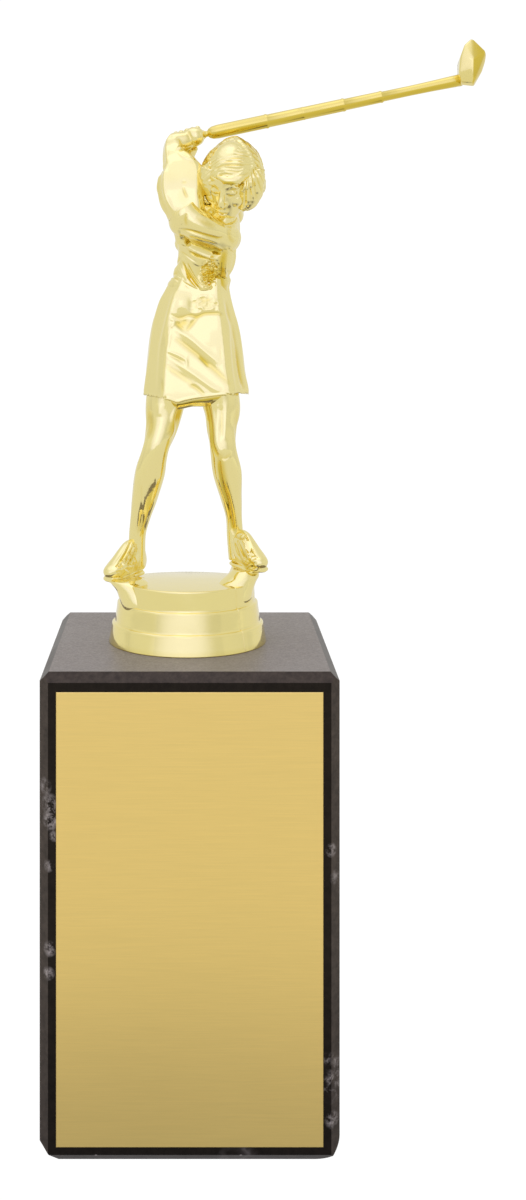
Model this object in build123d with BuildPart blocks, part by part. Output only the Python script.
"""Column trophy: a gold-plated plastic golfer on a black marble column with a gold plate.

The column is a bevelled marble block that stands on a felt pad. A threaded rod runs down
its bore, from a captive nut in the moulded figure to a washer and nut in a counterbore, and
clamps the figure to the top. A thin plate for engraving is taped to the front.

Millimetres. +Z is up, and the origin is the centre of the felt's underside. The front, with
the plate, faces -Y, and the club points to +X. The golfer's lead side is her left, at +X,
and her trail side is her right, at -X.
"""

import math
import os

from build123d import *

# ---- Driving dimensions ----------------------------------------------------------------

FELT_SIDE = 66.0
FELT_THICK = 1.0
FELT_CORNER = 3.0

BLOCK_SIDE = 76.0
BLOCK_HEIGHT = 123.5
BLOCK_BEVEL = 2.3
FOOT_BEVEL = 4.8  # the lower left edge is ground to a wider flat
FOOT_ROUND = 6.2  # and the lower right edge is rounded over
BORE_R = 4.0
COUNTERBORE_R = 12.0
COUNTERBORE_DEPTH = 16.0

PLATE_WIDTH = 67.2
PLATE_HEIGHT = 114.4
PLATE_THICK = 0.5
PLATE_EDGE = 0.12
TAPE_THICK = 0.15
TAPE_INSET = 1.2

THREAD_R = 3.0  # M6
THREAD_PITCH = 1.0
THREAD_DEPTH = 0.61
THREAD_CREST = 0.125
THREAD_CLEARANCE = 0.06
NUT_FLATS = 10.0
NUT_HEIGHT = 5.0
NUT_CHAMFER = 0.6
WASHER_R = 9.0
WASHER_THICK = 1.6
SPRING_R = 5.9
SPRING_THICK = 1.6
SPRING_GAP_DEG = 12.0
HOLE_R = 3.3  # clearance hole for the rod
ROD_BELOW_NUT = 3.1
ROD_ABOVE_NUT = 2.2

PEDESTAL_TIERS = ((21.6, 20.5, 5.5), (20.0, 19.1, 11.2), (18.6, 18.4, 16.7))
PEDESTAL_WALL = 1.9
PEDESTAL_ROUND = 0.4
BOSS_R = 8.0
BOSS_CLEARANCE = 0.3
NUT_SEAT = 4.0  # height of the captive nut's seat over the block
SLOT_PLAY = 0.1
RIB_THICK = 1.4
RIB_COUNT = 3
BACK_SHARE = 0.62  # depth of the pedestal's back half against its front half

SKIRT_CORE_Z = 188.7  # the closed underside between the legs, inside the hem
SOLE_SINK = 0.4  # the soles run a little into the pedestal

# A shoe along its own length, heel to toe: (distance, half width, height).
SHOE_RINGS = (
    (0.3, 1.5, 3.4),
    (2.6, 2.5, 6.4),
    (6.4, 2.5, 6.0),
    (10.4, 3.0, 4.9),
    (13.8, 2.9, 4.2),
    (16.0, 1.6, 3.0),
)

SHAFT_START = Vector(-4.6, 1.5, 262.3)  # the butt of the club, in the hands
SHAFT_TILT = 12.0
# The stepped shaft from the hands to the head: (radius, length).
SHAFT_RUNS = ((1.35, 10.4), (1.94, 16.9), (1.82, 21.6), (1.66, 10.7), (1.42, 13.0), (1.60, 9.5))

# ---- Heights worked out from them ------------------------------------------------------

BLOCK_TOP = FELT_THICK + BLOCK_HEIGHT
PLATE_CENTRE_Z = FELT_THICK + BLOCK_HEIGHT / 2
PEDESTAL_TOP = BLOCK_TOP + PEDESTAL_TIERS[-1][2]
NUT_Z = BLOCK_TOP + NUT_SEAT
COUNTERBORE_TOP = FELT_THICK + COUNTERBORE_DEPTH
WASHER_Z = COUNTERBORE_TOP - WASHER_THICK
SPRING_Z = WASHER_Z - SPRING_THICK
CLAMP_NUT_Z = SPRING_Z - NUT_HEIGHT
ROD_BOTTOM = CLAMP_NUT_Z - ROD_BELOW_NUT
ROD_TOP = NUT_Z + NUT_HEIGHT + ROD_ABOVE_NUT

FRONT = -BLOCK_SIDE / 2


# ---- Helpers ---------------------------------------------------------------------------


def thread_points(bottom, top, radius):
    """The saw-tooth edge of a thread from bottom to top, with its crests at radius."""
    points = []
    flank = (THREAD_PITCH - 2 * THREAD_CREST) / 2
    # The teeth are counted from the world's zero, so that rod and nuts are in step.
    for tooth in range(math.ceil(bottom / THREAD_PITCH), math.floor(top / THREAD_PITCH)):
        z = tooth * THREAD_PITCH
        root = radius - THREAD_DEPTH
        points += [(root, z), (root, z + THREAD_CREST)]
        points += [(radius, z + THREAD_CREST + flank), (radius, z + 2 * THREAD_CREST + flank)]
    return points


def hex_nut(base_z):
    """An M6 nut whose lower face is at base_z."""
    with BuildPart() as nut:
        with BuildSketch(Plane.XY.offset(base_z)):
            RegularPolygon(NUT_FLATS / 2, 6, major_radius=False, rotation=30)
        extrude(amount=NUT_HEIGHT)
        with BuildSketch(Plane.XZ):
            with BuildLine():
                rim = NUT_FLATS / 2 + NUT_CHAMFER / 2
                mid = base_z + NUT_HEIGHT / 2
                Polyline(
                    (0, base_z),
                    (rim - NUT_CHAMFER, base_z),
                    (rim + NUT_CHAMFER, mid - 1.5),
                    (rim + NUT_CHAMFER, mid + 1.5),
                    (rim - NUT_CHAMFER, base_z + NUT_HEIGHT),
                    (0, base_z + NUT_HEIGHT),
                    close=True,
                )
            make_face()
        revolve(axis=Axis.Z, mode=Mode.INTERSECT)
        with BuildSketch(Plane.XZ):
            with BuildLine():
                crest = THREAD_R + THREAD_CLEARANCE
                bottom, top = base_z - THREAD_PITCH, base_z + NUT_HEIGHT + 2 * THREAD_PITCH
                teeth = thread_points(bottom, top, crest)
                ends = (teeth[0][1], teeth[-1][1])
                Polyline((0, ends[0]), *teeth, (0, ends[1]), close=True)
            make_face()
        revolve(axis=Axis.Z, mode=Mode.SUBTRACT)
    return nut


def limb(stations, side=(1, 0, 0)):
    """Lofts ellipses, each (centre, along, half width, half depth), into the open part."""
    rings = []
    for centre, along, half_width, half_depth in stations:
        with BuildSketch(Plane(origin=centre, x_dir=side, z_dir=along)) as ring:
            Ellipse(half_width, half_depth)
        rings.append(ring.sketch)
    loft(rings)


def shoe(heel, toeward):
    """A shoe on the pedestal, with the web that carries its toe over the rim."""
    rings = []
    for distance, half_width, tall in SHOE_RINGS:
        centre = heel + toeward * distance + Vector(0, 0, PEDESTAL_TOP - SOLE_SINK + tall / 2)
        with BuildSketch(Plane(origin=centre, x_dir=(-toeward.Y, toeward.X, 0), z_dir=toeward)) as ring:
            Ellipse(half_width, tall / 2)
        rings.append(ring.sketch)
    loft(rings)
    toe = heel + toeward * 12.5
    limb(
        (
            ((toe.X * 0.95, toe.Y * 0.95, BLOCK_TOP + 11.9), (0, 0, 1), 1.3, 2.4),
            ((toe.X * 0.98, toe.Y * 0.98, BLOCK_TOP + 14.5), (0, 0, 1), 2.0, 2.9),
            ((toe.X, toe.Y, PEDESTAL_TOP + 1.8), (0, 0, 1), 2.4, 3.3),
        )
    )


def ball(centre, radius):
    """A joint between two limbs."""
    with Locations(centre):
        Sphere(radius)


def egg(semi_axes, plane):
    """A solid ellipsoid with these semi-axes, centred on plane."""
    return plane.location * scale(Sphere(1, mode=Mode.PRIVATE), by=semi_axes, mode=Mode.PRIVATE)


# ---- Column ----------------------------------------------------------------------------

with BuildPart() as marble_block:
    half = BLOCK_SIDE / 2
    # The front view: bevelled above, ground flat at the lower left, rounded lower right.
    with BuildSketch(Plane.XZ):
        with BuildLine():
            bottom = FELT_THICK
            Polyline(
                (half - FOOT_ROUND, bottom),
                (-half + FOOT_BEVEL, bottom),
                (-half, bottom + FOOT_BEVEL),
                (-half, BLOCK_TOP - BLOCK_BEVEL),
                (-half + BLOCK_BEVEL, BLOCK_TOP),
                (half - BLOCK_BEVEL, BLOCK_TOP),
                (half, BLOCK_TOP - BLOCK_BEVEL),
                (half, bottom + FOOT_ROUND),
            )
            RadiusArc((half, bottom + FOOT_ROUND), (half - FOOT_ROUND, bottom), FOOT_ROUND)
        make_face()
    extrude(amount=half, both=True)
    # The side view and the plan have four equal bevels each.
    with BuildSketch(Plane.YZ):
        with Locations((0, PLATE_CENTRE_Z)):
            side_view = Rectangle(BLOCK_SIDE, BLOCK_HEIGHT)
        chamfer(side_view.vertices(), BLOCK_BEVEL)
    extrude(amount=half, both=True, mode=Mode.INTERSECT)
    with BuildSketch(Plane.XY):
        plan = Rectangle(BLOCK_SIDE, BLOCK_SIDE)
        chamfer(plan.vertices(), BLOCK_BEVEL)
    extrude(amount=BLOCK_TOP, mode=Mode.INTERSECT)
    with Locations(Plane(origin=(0, 0, FELT_THICK), z_dir=(0, 0, -1))):
        CounterBoreHole(BORE_R, COUNTERBORE_R, COUNTERBORE_DEPTH)
marble_block.part.label = "marble_block"

with BuildPart() as felt_pad:
    with BuildSketch(Plane.XY):
        RectangleRounded(FELT_SIDE, FELT_SIDE, FELT_CORNER)
    extrude(amount=FELT_THICK)
felt_pad.part.label = "felt_pad"

with BuildPart() as plate_tape:
    with BuildSketch(Plane(origin=(0, FRONT, PLATE_CENTRE_Z), x_dir=(1, 0, 0), z_dir=(0, -1, 0))):
        Rectangle(PLATE_WIDTH - 2 * TAPE_INSET, PLATE_HEIGHT - 2 * TAPE_INSET)
    extrude(amount=TAPE_THICK)
plate_tape.part.label = "plate_tape"

with BuildPart() as front_plate:
    taped = FRONT - TAPE_THICK
    with BuildSketch(Plane(origin=(0, taped, PLATE_CENTRE_Z), x_dir=(1, 0, 0), z_dir=(0, -1, 0))):
        Rectangle(PLATE_WIDTH, PLATE_HEIGHT)
    extrude(amount=PLATE_THICK)
    chamfer(front_plate.faces().sort_by(Axis.Y)[0].edges(), PLATE_EDGE)
front_plate.part.label = "front_plate"

# ---- Fixings ---------------------------------------------------------------------------

with BuildPart() as threaded_rod:
    with BuildSketch(Plane.XZ):
        with BuildLine():
            teeth = thread_points(ROD_BOTTOM, ROD_TOP, THREAD_R)
            core = THREAD_R - THREAD_DEPTH
            Polyline((0, ROD_BOTTOM), (core, ROD_BOTTOM), *teeth, (core, ROD_TOP), (0, ROD_TOP), close=True)
        make_face()
    revolve(axis=Axis.Z)
threaded_rod.part.label = "threaded_rod"

captive_nut = hex_nut(NUT_Z)
captive_nut.part.label = "captive_nut"

clamp_nut = hex_nut(CLAMP_NUT_Z)
clamp_nut.part.label = "clamp_nut"

with BuildPart() as flat_washer:
    with BuildSketch(Plane.XY.offset(WASHER_Z)):
        Circle(WASHER_R)
        Circle(HOLE_R, mode=Mode.SUBTRACT)
    extrude(amount=WASHER_THICK)
    fillet(flat_washer.edges().filter_by(GeomType.CIRCLE).sort_by(SortBy.RADIUS)[-2:], 0.3)
flat_washer.part.label = "flat_washer"

with BuildPart() as spring_washer:
    with BuildSketch(Plane.XZ):
        with Locations(((HOLE_R + SPRING_R) / 2, SPRING_Z + SPRING_THICK / 2)):
            Rectangle(SPRING_R - HOLE_R, SPRING_THICK)
    revolve(axis=Axis.Z, revolution_arc=360 - SPRING_GAP_DEG)
spring_washer.part.label = "spring_washer"

# ---- The golfer, one moulding with her pedestal and club -------------------------------

HEAD = Plane(origin=(11.4, -8.0, 251.4), x_dir=(0.97, -0.16, -0.18), z_dir=(0.16, -0.5, 0.85))
HAIR_AXES = (9.4, 10.2, 10.8)
FACE_AXES = (5.6, 8.8, 9.2)

trail_leg = (
    ((-5.0, 2.0, 196.0), (0, 0, 1), 6.0, 6.6),
    ((-6.5, 1.0, 188.4), (0, 0, 1), 5.3, 5.6),
    ((-6.9, 0.0, 183.0), (0, 0, 1), 4.4, 4.8),
    ((-8.7, -1.6, 177.4), (0, 0, 1), 3.7, 4.1),
    ((-10.2, 0.4, 170.6), (0, 0, 1), 4.3, 4.5),
    ((-11.7, 1.6, 163.6), (0, 0, 1), 3.5, 3.7),
    ((-12.9, 2.8, 158.0), (0, 0, 1), 2.7, 2.9),
    ((-13.8, 3.6, 152.8), (0, 0, 1), 2.3, 2.6),
    ((-14.4, 4.0, 146.5), (0, 0, 1), 2.5, 3.0),
)
lead_leg = (
    ((7.6, 2.0, 196.0), (0, 0, 1), 6.0, 6.6),
    ((9.4, 1.0, 188.4), (0, 0, 1), 5.2, 5.6),
    ((9.3, 0.0, 183.0), (0, 0, 1), 4.3, 4.8),
    ((9.7, -1.6, 177.4), (0, 0, 1), 3.8, 4.1),
    ((10.9, 0.4, 170.6), (0, 0, 1), 4.2, 4.5),
    ((12.1, 1.6, 163.6), (0, 0, 1), 3.1, 3.6),
    ((12.9, 2.8, 158.0), (0, 0, 1), 2.4, 2.8),
    ((13.2, 3.6, 152.8), (0, 0, 1), 2.3, 2.6),
    ((13.6, 4.0, 146.5), (0, 0, 1), 2.5, 3.0),
)
skirt = (
    ((2.4, 0.6, 190.4), (0, 0, 1), 14.6, 10.4),
    ((2.3, 1.2, 199.0), (0, 0, 1), 13.5, 9.9),
    ((2.2, 1.6, 208.0), (0, 0, 1), 12.4, 9.3),
    ((2.2, 1.4, 215.0), (0, 0, 1), 11.3, 8.4),
    ((3.2, 0.8, 222.5), (0, 0, 1), 8.7, 6.8),
)
torso = (
    ((3.0, 0.9, 220.5), (0, 0, 1), 8.4, 6.6),
    ((4.0, 0.2, 226.0), (0.1, -0.15, 1), 7.4, 6.0),
    ((5.4, -1.6, 232.0), (0.1, -0.2, 1), 7.8, 7.6),
    ((6.4, -2.8, 237.5), (0.1, -0.2, 1), 7.4, 9.6),
    ((7.6, -3.4, 242.5), (0.1, -0.2, 1), 5.2, 8.4),
    ((8.8, -4.4, 246.0), (0.1, -0.3, 1), 3.6, 3.8),
)
lead_upper_arm = (
    ((8.6, -9.0, 237.6), (-1, -0.1, 0.3), 5.0, 4.6),
    ((2.0, -11.0, 240.2), (-1, -0.1, 0.45), 5.0, 4.6),
    ((-3.2, -10.4, 244.6), (-0.5, 0.2, 0.8), 4.4, 4.2),
)
lead_forearm = (
    ((-4.0, -10.2, 246.6), (0, 0.5, 1), 4.2, 4.0),
    ((-4.0, -7.0, 252.6), (0, 0.5, 1), 3.9, 3.7),
    ((-3.2, -2.4, 260.6), (0, 0.4, 1), 3.1, 2.8),
)
trail_upper_arm = (
    ((6.6, 6.4, 240.6), (-0.4, 0.5, 1), 4.8, 4.4),
    ((4.4, 9.6, 247.0), (-0.4, 0.5, 1), 4.6, 4.2),
    ((2.4, 11.4, 252.4), (-0.5, 0.1, 1), 4.2, 4.0),
)
trail_forearm = (
    ((2.2, 11.2, 253.0), (-0.2, -0.9, 0.8), 3.9, 3.8),
    ((1.2, 6.6, 257.6), (-0.2, -0.9, 0.8), 3.5, 3.4),
    ((0.4, 2.6, 261.4), (-0.2, -0.8, 0.7), 2.8, 2.8),
)
shoe_heels = ((Vector(-12.4, 7.6, 0), Vector(-0.54, -0.84, 0)), (Vector(12.0, 7.6, 0), Vector(0.54, -0.84, 0)))
clubhead = (
    ((77.6, 1.5, 277.8), (0.1, 0, 1), 2.2, 1.8),
    ((78.3, 1.0, 280.6), (0.1, 0, 1), 3.1, 3.3),
    ((79.0, 0.6, 284.4), (0.1, 0, 1), 3.7, 4.3),
    ((79.2, 0.6, 287.6), (0.1, 0, 1), 3.0, 3.8),
    ((79.0, 0.8, 290.0), (0.1, 0, 1), 1.2, 1.8),
)

# The pedestal's shell: three tiers, hollow below, and shallower behind than in front.
with BuildPart() as shell:
    with BuildSketch(Plane.XZ):
        with BuildLine():
            outline = [(0, BLOCK_TOP)]
            height = 0
            for lower_r, upper_r, top in PEDESTAL_TIERS:
                outline += [(lower_r, BLOCK_TOP + height), (upper_r, BLOCK_TOP + top)]
                height = top
            Polyline(*outline, (0, PEDESTAL_TOP), close=True)
        make_face()
    revolve(axis=Axis.Z)
    rims = shell.edges().filter_by(GeomType.CIRCLE).group_by(SortBy.RADIUS)
    fillet([rims[0][0], rims[2][0], rims[4][0]], PEDESTAL_ROUND)
    with BuildSketch(Plane.XZ):
        with BuildLine():
            inner_r = [lower - PEDESTAL_WALL for lower, _, _ in PEDESTAL_TIERS]
            steps = [top - PEDESTAL_WALL / 2 for _, _, top in PEDESTAL_TIERS]
            ceiling = PEDESTAL_TOP - PEDESTAL_WALL
            Polyline(
                (0, BLOCK_TOP),
                (inner_r[0], BLOCK_TOP),
                (inner_r[1], BLOCK_TOP + steps[0]),
                (inner_r[2], BLOCK_TOP + steps[1]),
                (inner_r[2] - PEDESTAL_WALL / 2, ceiling),
                (0, ceiling),
                close=True,
            )
        make_face()
    revolve(axis=Axis.Z, mode=Mode.SUBTRACT)
behind = Pos(0, 0, BLOCK_TOP - 1) * Box(60, 30, 30, align=(Align.CENTER, Align.MIN, Align.MIN))
shallow_shell = (shell.part - behind) + scale(shell.part & behind, by=(1, BACK_SHARE, 1))

with BuildPart() as golfer_figure:
    # A boss and ribs inside the pedestal seat the figure on the block.
    add(shallow_shell)
    boss_foot = BLOCK_TOP + BOSS_CLEARANCE
    with BuildSketch(Plane.XY.offset(boss_foot)):
        Circle(BOSS_R)
        with PolarLocations(BOSS_R + 4.5, RIB_COUNT, start_angle=180, angular_range=180, endpoint=True):
            Rectangle(12.0, RIB_THICK)
    extrude(amount=ceiling - boss_foot + PEDESTAL_WALL / 2)
    with Locations((0, 0, boss_foot)):
        Cylinder(HOLE_R, ROD_TOP - boss_foot + 1.0, align=(Align.CENTER, Align.CENTER, Align.MIN), mode=Mode.SUBTRACT)
    # The nut slides into its seat from the back, through a slot in the boss.
    with BuildSketch(Plane.XY.offset(NUT_Z)):
        RegularPolygon(NUT_FLATS / 2 + SLOT_PLAY, 6, major_radius=False, rotation=30)
        with Locations((0, BOSS_R / 2)):
            Rectangle(NUT_FLATS + 2 * SLOT_PLAY, BOSS_R)
    extrude(amount=NUT_HEIGHT + SLOT_PLAY, mode=Mode.SUBTRACT)

    # Legs and shoes, each shoe on a web that carries it over the pedestal's rim.
    limb(trail_leg)
    limb(lead_leg)
    for heel, toeward in shoe_heels:
        shoe(heel, toeward)

    # Skirt with its closed underside, torso and arms.
    with BuildSketch(Plane.XY.offset(SKIRT_CORE_Z)):
        with Locations((2.0, 1.0)):
            Rectangle(16.0, 9.0)
    extrude(amount=5.0)
    limb(skirt)
    limb(torso)
    limb(lead_upper_arm, side=(0, 1, 0))
    ball((-3.8, -10.3, 245.6), 4.7)
    limb(lead_forearm)
    limb(trail_upper_arm)
    ball((2.4, 11.3, 252.7), 4.6)
    limb(trail_forearm)
    ball((8.2, -8.8, 237.8), 5.4)
    ball((6.6, 6.4, 240.9), 5.2)

    # Head: a cap of hair with a plain face in front of it, on a short neck.
    limb((((7.8, -3.8, 242.0), (0.2, -0.3, 1), 3.4, 3.6), ((10.2, -5.6, 249.0), (0.2, -0.3, 1), 3.3, 3.5)))
    add(egg(HAIR_AXES, HEAD))
    add(egg(FACE_AXES, HEAD.offset(-3.2)))

    # Hands round the grip.
    grip = Plane(origin=SHAFT_START, x_dir=(0, 1, 0), z_dir=Vector(1, 0, 0).rotate(Axis.Y, -SHAFT_TILT))
    add(egg((3.3, 3.1, 3.6), grip.offset(2.4)))
    add(egg((3.0, 2.9, 3.4), grip.offset(6.2)))

    # Club: a stepped shaft, thickest below the hands, and a rounded wooden head.
    start = 0
    for radius, length in SHAFT_RUNS:
        with BuildSketch(grip.offset(start)):
            Circle(radius)
        extrude(amount=length)
        start += length
    limb(clubhead)
golfer_figure.part.label = "golfer_figure"

# ---- Export ----------------------------------------------------------------------------

os.makedirs("parts", exist_ok=True)
for piece in (
    felt_pad,
    marble_block,
    plate_tape,
    front_plate,
    threaded_rod,
    captive_nut,
    clamp_nut,
    flat_washer,
    spring_washer,
    golfer_figure,
):
    export_step(piece.part, f"parts/{piece.part.label}.step")
